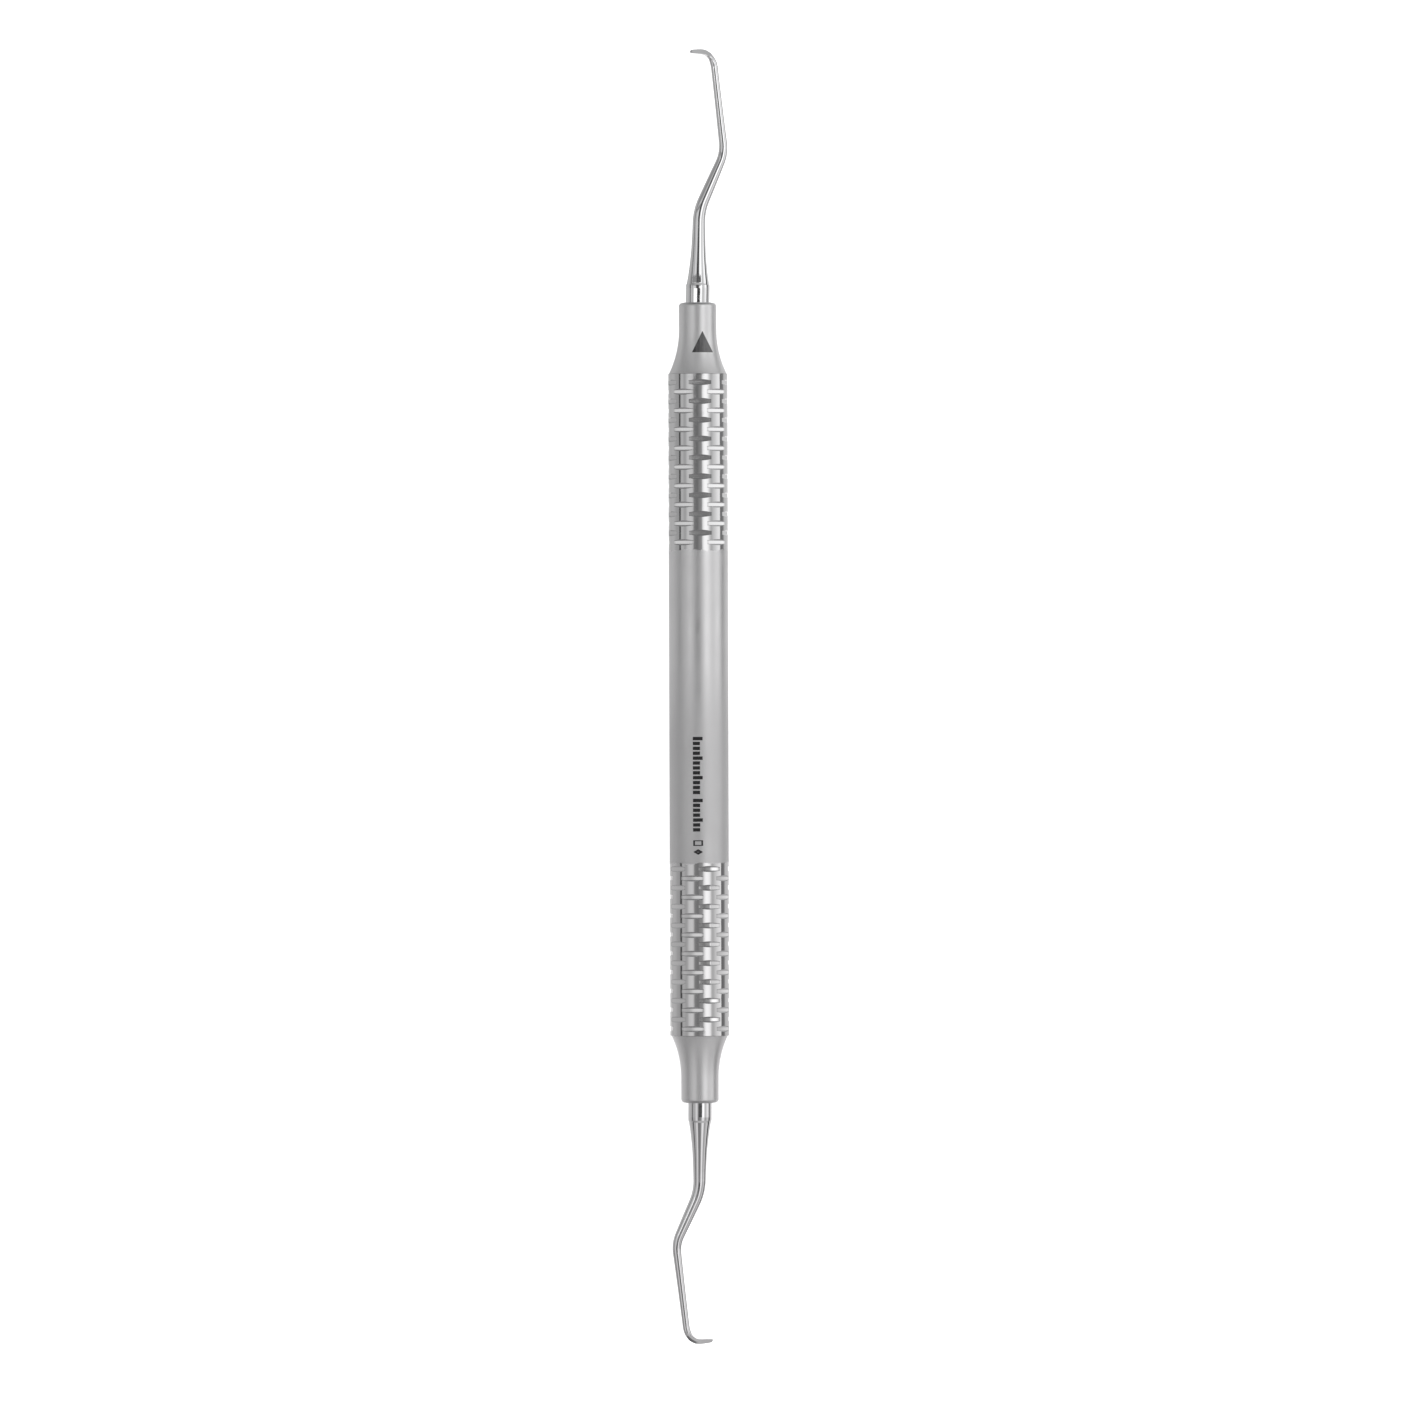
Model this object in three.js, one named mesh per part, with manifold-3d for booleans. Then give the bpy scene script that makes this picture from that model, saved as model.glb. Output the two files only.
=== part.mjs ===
// A double-ended hand scaler, the dental instrument for removing calculus from teeth.
//
// It is built from five pieces, as the real instrument is: a hollow round handle tube with two
// grooved grips, a turned neck plugged into each end of the tube, and a one-piece working tip held
// in each neck, which carries the bent shank and the pointed sickle blade.
//
// Units are millimetres. The instrument lies on a tray: +X runs along the handle towards the upper
// end (the one with the arrow mark), +Z is up, and the origin is on the tray plane under the middle
// of the handle. Seen from above with +X pointing away, the upper shank bends to the right (-Y).

import * as THREE from 'three';
import { mergeGeometries, mergeVertices } from 'three/addons/utils/BufferGeometryUtils.js';
import Module from 'manifold-3d';

const wasm = await Module();
wasm.setup();

// ---- driving dimensions ----

// Handle. The round parts are regular prisms of HANDLE_SIDES flats, with one flat underneath, and
// HANDLE_RADIUS is measured to the flats, so the lowest flat lies in the plane z = 0.
const HANDLE_RADIUS = 4;
const HANDLE_SIDES = 40;
const TUBE_WALL = 0.9;
const TUBE_END_CHAMFER = 0.12;
const UPPER_JOINT_X = 44.49;
const LOWER_JOINT_X = 45.03;

// Necks: a cylinder next to the tip, then a concave flare up to the tube.
const NECK_RADIUS = 2.53;
const NECK_FLARE_RADIUS = 13.5;
const NECK_EDGE_ROUND = 0.5;
const UPPER_NECK = { length: 9.6, cylinder: 3.7 };
const LOWER_NECK = { length: 9.06, cylinder: 3.4 };
const SPIGOT_LENGTH = 8;
const JOINT_GAP = 0.05;

// Grooves: each is one straight pass of a blunt cutter across the handle.
const GROOVE_COLUMNS = 10;
const GROOVES_PER_COLUMN = 9;
const GROOVE_PITCH = 2.54;
const GROOVE_ARC = THREE.MathUtils.degToRad(45);
const GROOVE_FLOOR_WIDTH = 0.4;
const GROOVE_TOP_WIDTH = 0.8;
const GROOVE_DEPTH = HANDLE_RADIUS * (1 - Math.cos(GROOVE_ARC / 2));
// A grip starts at the groove nearest the middle of the handle. Its turn is how far a column of
// such grooves lies from the top of the handle, towards -Y.
const UPPER_GRIP = { firstX: 21.66, turn: THREE.MathUtils.degToRad(40.4) };
const LOWER_GRIP = { firstX: 22.43, turn: THREE.MathUtils.degToRad(21.5) };

// Tips. A corner of a shank's centre line is [distance past the neck, sideways, up], and its round
// takes that much off each side of the corner.
const TANG_RADIUS = 1.6;
const TANG_LENGTH = 10;
const TIP_SIDES = 18;
const COLLAR_LENGTH = 2.35;
const UPPER_CENTRE_LINE = {
  corners: [[12.4, 0.25, 0], [20.2, 3.66, -0.75], [33.8, 2.15, -0.95]],
  rounds: [1.6, 1.5, 2.2],
  point: [33.87, -0.95, 1.35],
};
const LOWER_CENTRE_LINE = {
  corners: [[12.0, 0.1, 0], [19.0, 3.3, -0.75], [32.2, 1.72, -0.95]],
  rounds: [1.6, 1.3, 2.2],
  point: [32.15, -1.68, 1.35],
};
// Radius of the tip along its centre line: [distance past the neck, radius].
const SHANK_RADII = [
  [COLLAR_LENGTH, 1.6],
  [COLLAR_LENGTH + 0.25, 1.5],
  [3.6, 1.34],
  [5, 1.17],
  [6.6, 1.02],
  [8.6, 0.92],
  [12.4, 0.82],
  [16.5, 0.72],
  [20.5, 0.6],
  [25, 0.52],
  [30.5, 0.475],
];
// The blade is measured back from its point. It narrows slowly, as a low power of that distance.
const BLADE_LENGTH = 4.6;
const BLADE_RADIUS = 0.36;
const BLADE_TAPER = 0.3;
// Rings of the tip are at most this far apart.
const SHANK_RING_SPACING = 0.8;
const BLADE_RING_SPACING = 0.35;

// ---- materials ----

const SATIN_STEEL = { color: 0xb4b5b6, roughness: 0.42, metalness: 1 };
const GRIP_STEEL = { color: 0xbcbdbe, roughness: 0.3, metalness: 1 };
const POLISHED_STEEL = { color: 0xc6c6c9, roughness: 0.12, metalness: 1 };

// ---- helpers ----

function closed(geometry) {
  geometry.deleteAttribute('normal');
  geometry.deleteAttribute('uv');
  return mergeVertices(geometry);
}

function solidFrom(geometry) {
  const merged = closed(geometry);
  const mesh = new wasm.Mesh({
    numProp: 3,
    vertProperties: new Float32Array(merged.attributes.position.array),
    triVerts: new Uint32Array(merged.index.array),
  });
  return new wasm.Manifold(mesh);
}

function geometryFrom(solid) {
  const mesh = solid.getMesh();
  const geometry = new THREE.BufferGeometry();
  geometry.setAttribute('position', new THREE.BufferAttribute(mesh.vertProperties, 3));
  geometry.setIndex(new THREE.BufferAttribute(mesh.triVerts, 1));
  return geometry;
}

// Turns an outline of [x, radius to the flats] about the X axis.
function turned(outline) {
  const step = (2 * Math.PI) / HANDLE_SIDES;
  const toCorner = 1 / Math.cos(step / 2);
  const points = outline.map(([x, radius]) => new THREE.Vector2(radius * toCorner, x));
  const lathe = new THREE.LatheGeometry(points, HANDLE_SIDES, step / 2);
  return lathe.rotateZ(-Math.PI / 2);
}

function piece(name, geometry, finish) {
  geometry.computeVertexNormals();
  const mesh = new THREE.Mesh(geometry, new THREE.MeshStandardMaterial(finish));
  mesh.name = name;
  return mesh;
}

// ---- handle tube ----

// One cutter as wide as a groove, standing on the top of the handle and turned about its axis.
function grooveCutter(x, turn) {
  const overshoot = 0.3;
  const floor = HANDLE_RADIUS - GROOVE_DEPTH;
  const slope = (GROOVE_TOP_WIDTH - GROOVE_FLOOR_WIDTH) / 2 / GROOVE_DEPTH;
  const low = GROOVE_FLOOR_WIDTH / 2;
  const high = low + slope * (GROOVE_DEPTH + overshoot);
  const length = HANDLE_RADIUS;
  const section = new THREE.Shape([
    new THREE.Vector2(-low, floor),
    new THREE.Vector2(low, floor),
    new THREE.Vector2(high, HANDLE_RADIUS + overshoot),
    new THREE.Vector2(-high, HANDLE_RADIUS + overshoot),
  ]);
  const cutter = new THREE.ExtrudeGeometry(section, { depth: length, bevelEnabled: false });
  cutter.translate(0, 0, -length / 2);
  cutter.rotateX(Math.PI / 2 + turn);
  cutter.translate(x, 0, 0);
  return cutter;
}

// Neighbouring columns are half a pitch apart along the handle, like brickwork.
function gripCutters(side, grip) {
  const cutters = [];
  for (let column = 0; column < GROOVE_COLUMNS; column += 1) {
    const turn = grip.turn + (column * 2 * Math.PI) / GROOVE_COLUMNS;
    const shift = column % 2 === 0 ? 0 : GROOVE_PITCH / 2;
    for (let row = 0; row < GROOVES_PER_COLUMN; row += 1) {
      const x = grip.firstX + shift + row * GROOVE_PITCH;
      cutters.push(grooveCutter(side * x, turn));
    }
  }
  return cutters;
}

function handleTube() {
  const low = -LOWER_JOINT_X + JOINT_GAP;
  const high = UPPER_JOINT_X - JOINT_GAP;
  const bore = HANDLE_RADIUS - TUBE_WALL;
  const blank = turned([
    [low, bore],
    [low, HANDLE_RADIUS - TUBE_END_CHAMFER],
    [low + TUBE_END_CHAMFER, HANDLE_RADIUS],
    [high - TUBE_END_CHAMFER, HANDLE_RADIUS],
    [high, HANDLE_RADIUS - TUBE_END_CHAMFER],
    [high, bore],
    [low, bore],
  ]);
  const cutters = mergeGeometries([...gripCutters(1, UPPER_GRIP), ...gripCutters(-1, LOWER_GRIP)]);
  const tube = solidFrom(blank).subtract(solidFrom(cutters));
  return piece('handle_tube', geometryFrom(tube), GRIP_STEEL);
}

// ---- necks ----

// The outline runs from the inner end of the spigot, out over the neck and back down the blind
// hole that holds the tip's tang. x = 0 is where the neck meets the tube.
function neckOutline(neck) {
  const spigotRadius = HANDLE_RADIUS - TUBE_WALL - JOINT_GAP;
  const holeRadius = TANG_RADIUS + JOINT_GAP;
  const outline = [[-SPIGOT_LENGTH, 0], [-SPIGOT_LENGTH, spigotRadius], [0, spigotRadius]];
  const flare = neck.length - neck.cylinder;
  const flareSteps = 6;
  for (let i = 0; i <= flareSteps; i += 1) {
    const left = flare * (1 - i / flareSteps);
    const drop = NECK_FLARE_RADIUS - Math.sqrt(NECK_FLARE_RADIUS ** 2 - left ** 2);
    outline.push([flare - left, NECK_RADIUS + drop]);
  }
  const edgeSteps = 3;
  for (let i = 0; i <= edgeSteps; i += 1) {
    const angle = (i / edgeSteps) * (Math.PI / 2);
    const back = NECK_EDGE_ROUND * (1 - Math.sin(angle));
    outline.push([neck.length - back, NECK_RADIUS - NECK_EDGE_ROUND * (1 - Math.cos(angle))]);
  }
  const holeEnd = neck.length - TANG_LENGTH - 6 * JOINT_GAP;
  outline.push([neck.length, holeRadius], [holeEnd, holeRadius], [holeEnd, 0]);
  return outline;
}

// ---- tips ----

// The centre line of a tip as one curve: straight stretches joined by rounds at the corners.
// side is +1 for the upper end and -1 for the lower one, which is its mirror image.
function tipCentreLine(side, neckEndX, line) {
  const at = ([along, across, up]) => new THREE.Vector3(
    side * (neckEndX + along),
    -side * across,
    side * up,
  );
  const corners = line.corners.map(at);
  const point = at(line.point);
  const path = new THREE.CurvePath();
  let from = at([-TANG_LENGTH, 0, 0]);
  const neckMouth = at([0, 0, 0]);
  path.add(new THREE.LineCurve3(from, neckMouth));
  from = neckMouth;
  corners.forEach((corner, i) => {
    const next = corners[i + 1] ?? point;
    const enter = corner.clone().lerp(from, line.rounds[i] / corner.distanceTo(from));
    const leave = corner.clone().lerp(next, line.rounds[i] / corner.distanceTo(next));
    path.add(new THREE.LineCurve3(from, enter));
    path.add(new THREE.QuadraticBezierCurve3(enter, corner, leave));
    from = leave;
  });
  path.add(new THREE.LineCurve3(from, point));
  return path;
}

// The tip's rings as [distance past the neck, radius], from the tang's end to the point.
function tipRings(pathLength) {
  const end = pathLength - TANG_LENGTH;
  const bladeStart = end - BLADE_LENGTH;
  const rings = [[-TANG_LENGTH, 0], [-TANG_LENGTH, TANG_RADIUS]];
  const stations = [...SHANK_RADII, [bladeStart, BLADE_RADIUS]];
  stations.forEach(([s, radius], i) => {
    const [before, radiusBefore] = stations[i - 1] ?? [s, radius];
    const steps = Math.max(1, Math.ceil((s - before) / SHANK_RING_SPACING));
    for (let k = 1; k <= steps; k += 1) {
      rings.push([
        THREE.MathUtils.lerp(before, s, k / steps),
        THREE.MathUtils.lerp(radiusBefore, radius, k / steps),
      ]);
    }
  });
  const steps = Math.ceil(BLADE_LENGTH / BLADE_RING_SPACING);
  for (let k = 1; k <= steps; k += 1) {
    const left = 1 - k / steps;
    rings.push([end - left * BLADE_LENGTH, BLADE_RADIUS * left ** BLADE_TAPER]);
  }
  return rings;
}

// How far a rounded triangle lies from its centre, as a share of the same-size circle's radius.
// Its corners are at 0 and at 120 degrees either way.
function triangleShare(angle) {
  const third = (2 * Math.PI) / 3;
  const within = THREE.MathUtils.euclideanModulo(angle, third);
  const flat = 0.72;
  return flat / Math.cos(within - third / 2);
}

// Bends a straight turned tip onto its centre line. Towards the point its round section turns into
// a triangle: a flat face on the inside of the hook with a cutting edge on each side, and a back.
function workingTip(name, side, neckEndX, line) {
  const path = tipCentreLine(side, neckEndX, line);
  const length = path.getLength();
  const points = tipRings(length).map(([s, radius]) => new THREE.Vector2(radius, s));
  const lathe = new THREE.LatheGeometry(points, TIP_SIDES);
  const frameSteps = 600;
  const frames = path.computeFrenetFrames(frameSteps, false);
  const pointFrame = frameSteps - 1;
  const outward = new THREE.Vector3(side, 0, 0);
  const backAngle = Math.atan2(
    outward.dot(frames.binormals[pointFrame]),
    outward.dot(frames.normals[pointFrame]),
  );
  const bladeStart = length - TANG_LENGTH - BLADE_LENGTH;
  const position = lathe.attributes.position;
  for (let i = 0; i < position.count; i += 1) {
    const s = position.getY(i);
    const angle = Math.atan2(position.getX(i), position.getZ(i));
    const share = THREE.MathUtils.clamp((s + TANG_LENGTH) / length, 0, 1);
    const frame = Math.round(share * frameSteps);
    const ground = THREE.MathUtils.smoothstep(s, bladeStart, bladeStart + BLADE_LENGTH / 2);
    const shape = THREE.MathUtils.lerp(1, triangleShare(angle), ground);
    const radius = Math.hypot(position.getX(i), position.getZ(i)) * shape;
    const turn = angle + backAngle;
    const spot = path.getPointAt(share);
    spot.addScaledVector(frames.normals[frame], radius * Math.cos(turn));
    spot.addScaledVector(frames.binormals[frame], radius * Math.sin(turn));
    position.setXYZ(i, spot.x, spot.y, spot.z);
  }
  return piece(name, closed(lathe), POLISHED_STEEL);
}

// ---- assembly ----

const upperNeck = piece('upper_neck', closed(turned(neckOutline(UPPER_NECK))), SATIN_STEEL);
upperNeck.position.x = UPPER_JOINT_X;

const lowerNeck = piece('lower_neck', closed(turned(neckOutline(LOWER_NECK))), SATIN_STEEL);
lowerNeck.rotation.z = Math.PI;
lowerNeck.position.x = -LOWER_JOINT_X;

const upperNeckEnd = UPPER_JOINT_X + UPPER_NECK.length;
const lowerNeckEnd = LOWER_JOINT_X + LOWER_NECK.length;

const scaler = new THREE.Group();
scaler.add(
  handleTube(),
  upperNeck,
  lowerNeck,
  workingTip('upper_tip', 1, upperNeckEnd, UPPER_CENTRE_LINE),
  workingTip('lower_tip', -1, lowerNeckEnd, LOWER_CENTRE_LINE),
);
scaler.position.z = HANDLE_RADIUS;

export default scaler;
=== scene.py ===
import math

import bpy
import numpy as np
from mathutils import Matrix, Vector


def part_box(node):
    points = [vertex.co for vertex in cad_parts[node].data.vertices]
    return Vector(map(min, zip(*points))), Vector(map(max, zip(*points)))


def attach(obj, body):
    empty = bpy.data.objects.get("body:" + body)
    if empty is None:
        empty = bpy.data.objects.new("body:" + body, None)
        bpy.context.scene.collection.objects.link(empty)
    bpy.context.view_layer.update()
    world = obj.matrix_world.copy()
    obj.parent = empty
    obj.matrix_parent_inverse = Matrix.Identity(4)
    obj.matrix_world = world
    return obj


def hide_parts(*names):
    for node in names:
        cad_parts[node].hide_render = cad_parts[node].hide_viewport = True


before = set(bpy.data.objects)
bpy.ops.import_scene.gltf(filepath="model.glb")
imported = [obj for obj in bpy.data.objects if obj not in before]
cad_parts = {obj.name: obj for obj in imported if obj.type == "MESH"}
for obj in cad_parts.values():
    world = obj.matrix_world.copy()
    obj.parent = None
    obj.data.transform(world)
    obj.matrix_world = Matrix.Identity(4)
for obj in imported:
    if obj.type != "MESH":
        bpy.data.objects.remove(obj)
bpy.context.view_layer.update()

# Looks of the double-ended hand scaler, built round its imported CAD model.
#
# Every CAD node is replaced by a finer piece of the same shape, size and place: the handle tube
# with its machined grooves, the two turned necks and the two bent and ground working tips. Only
# their edges, the grooves' floors and the blades' ends differ from the CAD's. The dark marks on the
# upper neck and on the handle are thin raised patches of their own.
#
# Sizes here are millimetres, and a mesh turns into metres when it is made. The handle's axis runs
# along X at z = HANDLE_RADIUS. A turn is an angle round that axis, from the top towards -Y.

MM = 0.001

# ---- driving dimensions ----

HANDLE_RADIUS = 4.0
TUBE_WALL = 0.9
# What the CAD keeps clear between mating pieces.
JOINT_GAP = 0.05
# Here the edges that meet in sight are crisp and nearly touch.
CRISP_CHAMFER = 0.03
CRISP_GAP = 0.015

NECK_RADIUS = 2.53
NECK_FLARE_RADIUS = 13.5
NECK_EDGE_ROUND = 0.5
NECK_END_DOME = 0.06
HOLE_CHAMFER = 0.12
HOLE_CHAMFER_DEPTH = 0.08
HOLE_SPARE_DEPTH = 0.3
UPPER_NECK = {"length": 9.6, "cylinder": 3.7}
LOWER_NECK = {"length": 9.06, "cylinder": 3.4}
SPIGOT_LENGTH = 8.0

GROOVE_COLUMNS = 10
GROOVES_PER_COLUMN = 9
GROOVE_PITCH = 2.54
GROOVE_ARC = 45.0
GROOVE_FLOOR_WIDTH = 0.42
GROOVE_TOP_WIDTH = 0.8
GROOVE_FLOOR_RADIUS = 10.0
# A floor's tilt is (degrees towards -Y at its middle, degrees more per mm on its +Y half, the same
# on its -Y half). Columns are numbered from "turn" towards -Y, and those not listed take the grip's
# own tilt. A ridged column is (degrees that a floor's -Y half turns by at its middle, degrees more
# per mm there, first and last slot where it does). A shallow column has only that share of the
# others' depth.
UPPER_GRIP = {
    "side": 1, "first_x": 21.66, "turn": 40.4, "tilt": (0.0, 4.0, 4.0),
    "tilts": {
        0: (1.5, 1.5, 1.5), 1: (-8.0, 3.0, 3.0), 7: (20.0, 2.0, 2.0), 8: (15.0, 3.0, 3.0),
        9: (-8.0, 3.0, 3.0),
    },
    "ridged": {},
    "shallow": {},
}
LOWER_GRIP = {
    "side": -1, "first_x": 22.43, "turn": 21.5, "tilt": (-8.0, 8.0, 8.0),
    "tilts": {
        0: (-15.5, 11.0, 13.0), 1: (-25.0, 3.0, 3.0), 8: (1.5, 2.0, 2.0), 9: (-8.0, 7.0, 7.0),
    },
    "ridged": {0: (25.0, 4.0, 2, 12)},
    "shallow": {2: 0.5, 7: 0.5},
}

TANG_RADIUS = 1.6
TANG_LENGTH = 10.0
TANG_CHAMFER = 0.1
COLLAR_LENGTH = 2.35
COLLAR_ROUND = 0.02
# The tang and collar's rings start just inside the neck.
COLLAR_START = -0.3
COLLAR_RINGS = 6
COLLAR_TO_SHANK = 0.25
# A corner of a shank's centre line is (distance past the neck, sideways, up).
UPPER_LINE = {
    "corners": [(12.4, 0.25, 0), (20.2, 3.66, -0.75), (33.8, 2.15, -0.95)],
    "rounds": [1.6, 1.5, 2.2],
    "point": (33.80, -0.95, 1.35),
}
LOWER_LINE = {
    "corners": [(12.0, 0.1, 0), (19.0, 3.3, -0.75), (32.2, 1.72, -0.95)],
    "rounds": [1.6, 1.3, 2.2],
    "point": (32.085, -1.68, 1.35),
}
# (distance past the neck, radius)
SHANK_RADII = [
    (COLLAR_LENGTH + COLLAR_TO_SHANK, 1.5),
    (3.6, 1.34),
    (5, 1.17),
    (6.6, 1.02),
    (8.6, 0.92),
    (12.4, 0.82),
    (16.5, 0.72),
    (20.5, 0.6),
    (25, 0.52),
    (30.5, 0.475),
]
BLADE_LENGTH = 4.6
BLADE_RADIUS = 0.36
# The blade thins with this power of the length that is left, after a smooth step down from the
# shank over BLADE_NECKING, and its point is round over BLADE_NOSE.
BLADE_TAPER = 0.2
BLADE_NECKING = 1.8
BLADE_NOSE = 0.3
BLADE_END_RADIUS = 0.012
# A ground flat's distance from the blade's middle, as a share of the radius.
BLADE_FLAT = 0.72

# Where the handle ends, read from the CAD.
tube_low, tube_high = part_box("handle_tube")
UPPER_JOINT_X = tube_high.x / MM + JOINT_GAP
LOWER_JOINT_X = -tube_low.x / MM + JOINT_GAP

# ---- meshes ----


def around(turns, radius):
    """(y, z) at each turn and radius round the handle's axis."""
    angle = np.radians(turns)
    return -radius * np.sin(angle), HANDLE_RADIUS + radius * np.cos(angle)


def make_piece(name, points, faces, material, replaced, normals=None, sharp=None):
    """A mesh of points in millimetres, riding on the part's one body."""
    mesh = bpy.data.meshes.new(name)
    mesh.from_pydata((np.asarray(points) * MM).tolist(), [], [list(map(int, f)) for f in faces])
    mesh.validate()
    mesh.polygons.foreach_set("use_smooth", np.ones(len(mesh.polygons), bool))
    mesh.materials.append(material)
    if sharp is not None:
        mesh.set_sharp_from_angle(angle=math.radians(sharp))
    if normals is not None:
        mesh.normals_split_custom_set(normals.tolist())
    piece = bpy.data.objects.new(name, mesh)
    bpy.context.scene.collection.objects.link(piece)
    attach(piece, "root")
    if replaced:
        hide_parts(replaced)


def ring_faces(rings, sides, closed):
    """Quads between neighbouring rings of points, and from the last ring to the first if closed."""
    pairs = [(k, k + 1) for k in range(rings - 1)] + ([(rings - 1, 0)] if closed else [])
    ahead = (np.arange(sides) + 1) % sides
    here = np.arange(sides)
    return np.concatenate([
        np.stack([a * sides + here, a * sides + ahead, b * sides + ahead, b * sides + here], 1)
        for a, b in pairs
    ])


def end_fans(rings, sides, hub):
    """Triangles that close the first and last ring onto the points at hub and hub + 1."""
    fans = []
    for i in range(sides):
        ahead, last = (i + 1) % sides, (rings - 1) * sides
        fans += [(hub, ahead, i), (hub + 1, last + i, last + ahead)]
    return fans


# ---- handle tube ----

TUBE_SIDES = 160
TURN_STEP = 360 / TUBE_SIDES
# Degrees by which a point may miss a groove's end and still count as on it.
ANGLE_SLACK = 0.01
PLAIN_ROWS = 25
# How far the plain stretch's rows stay from the middle of the first groove.
PLAIN_MARGIN = 1.0
RIM_ROUND = 0.018
FILLET = 0.03
LEAST_FILLET_SHARE = 0.3
LEAST_WALL = 0.012
HALF_ARC = GROOVE_ARC / 2
ARC_REACH = HANDLE_RADIUS * math.sin(math.radians(HALF_ARC))
GROOVE_DEPTH = (
    HANDLE_RADIUS * (1 - math.cos(math.radians(HALF_ARC)))
    - GROOVE_FLOOR_RADIUS + math.sqrt(GROOVE_FLOOR_RADIUS ** 2 - ARC_REACH ** 2)
)
GROOVE_FLOOR_HALF = GROOVE_FLOOR_WIDTH / 2
WALL_SLOPE = GROOVE_DEPTH / ((GROOVE_TOP_WIDTH - GROOVE_FLOOR_WIDTH) / 2)
# How much a wall's normal leans along X for each unit that it points outward.
WALL_LEAN = 1.75
# Each floor is also a few degrees off, by a wave over its slot and column numbers.
UNEVEN_TILT = 1.5
UNEVEN_BY_SLOT, UNEVEN_BY_COLUMN = 2.4, 1.7


def floor_height(off):
    """Height of a groove's floor over the handle's axis, off degrees from the groove's middle."""
    across = HANDLE_RADIUS * np.sin(np.radians(off))
    drop = GROOVE_FLOOR_RADIUS - np.sqrt(GROOVE_FLOOR_RADIUS ** 2 - across ** 2)
    return HANDLE_RADIUS - GROOVE_DEPTH - drop


def groove_rows(grip, index):
    """The nine rows of a half-pitch slot: (x, radius, turns, off, lane, floor's tilt) of each."""
    turns = grip["turn"] % TURN_STEP + np.arange(TUBE_SIDES) * TURN_STEP
    column = 360 / GROOVE_COLUMNS
    off = (turns - grip["turn"] - (index % 2) * column + column) % (2 * column) - column
    x = grip["side"] * (grip["first_x"] + index * GROOVE_PITCH / 2)
    number = np.rint((turns - off - grip["turn"]) / column).astype(int) % GROOVE_COLUMNS
    tilts = np.array([grip["tilts"].get(k, grip["tilt"]) for k in range(GROOVE_COLUMNS)])
    middle, plus_side, minus_side = tilts[number].T
    for ridged, (turned, rise, first, last) in grip["ridged"].items():
        here = (number == ridged) & (off > 0) & (first <= index <= last)
        middle, minus_side = middle + turned * here, np.where(here, rise, minus_side)
    rise = np.where(off > 0, minus_side, plus_side)
    tilt = middle + rise * HANDLE_RADIUS * np.sin(np.radians(off))
    tilt += UNEVEN_TILT * np.sin(UNEVEN_BY_SLOT * index + UNEVEN_BY_COLUMN * number)
    deep = np.array([grip["shallow"].get(k, 1.0) for k in range(GROOVE_COLUMNS)])[number]
    inside = np.abs(off) < HALF_ARC - ANGLE_SLACK
    land = HANDLE_RADIUS * np.cos(np.radians(off))
    room = np.where(inside, (land - floor_height(off)) / WALL_SLOPE, 0)
    fillet = FILLET * np.clip(room / (2 * FILLET), LEAST_FILLET_SHARE, 1)
    foot = GROOVE_FLOOR_HALF + fillet
    brow = np.maximum(GROOVE_FLOOR_HALF + room - RIM_ROUND, foot + LEAST_WALL)
    edge = brow + 2 * RIM_ROUND
    floor_edge = np.full_like(off, GROOVE_FLOOR_HALF - FILLET)
    lanes = [-edge, -brow, -foot, -floor_edge, np.zeros_like(off), floor_edge, foot, brow, edge]
    rows = []
    for lane, shift in enumerate(lanes):
        height = floor_height(off) + WALL_SLOPE * np.maximum(0, np.abs(shift) - GROOVE_FLOOR_HALF)
        height = land - deep * np.maximum(0, land - height)
        cut = np.where(inside, height / np.cos(np.radians(off)), HANDLE_RADIUS)
        rows.append((x + shift, np.minimum(cut, HANDLE_RADIUS), turns, off, lane, tilt))
    return rows


def groove_normals(off, turns, tilt, lean):
    """Normals of a groove's floor (lean 0) or of its walls (lean -1 or 1, the way they face)."""
    normal = radial_normals(turns - off + tilt)
    normal[..., 0] += lean * WALL_LEAN
    return normal / np.linalg.norm(normal, axis=-1, keepdims=True)


def plain_row(x, radius, turns):
    """A row like those of groove_rows, at one x and radius all round."""
    flat = np.full(TUBE_SIDES, float(x))
    far_off = np.full(TUBE_SIDES, 90.0)
    return flat, np.full(TUBE_SIDES, float(radius)), turns, far_off, None, np.zeros(TUBE_SIDES)


def radial_normals(turns, lean=0.0, out=1.0):
    """Unit normals at those turns that point out by out and along X by lean."""
    angle = np.radians(turns)
    side = np.stack([np.full_like(angle, lean), -out * np.sin(angle), out * np.cos(angle)], -1)
    return side / np.linalg.norm(side, axis=-1, keepdims=True)


# Which way the two edges of each strip between a slot's nine rows face: None is the handle's own
# round surface, 0 the floor, and 1 or -1 a wall facing that way along X.
STRIP_FACING = [(None, 1), (1, 1), (1, 0), (0, 0), (0, 0), (0, -1), (-1, -1), (-1, None)]


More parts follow.
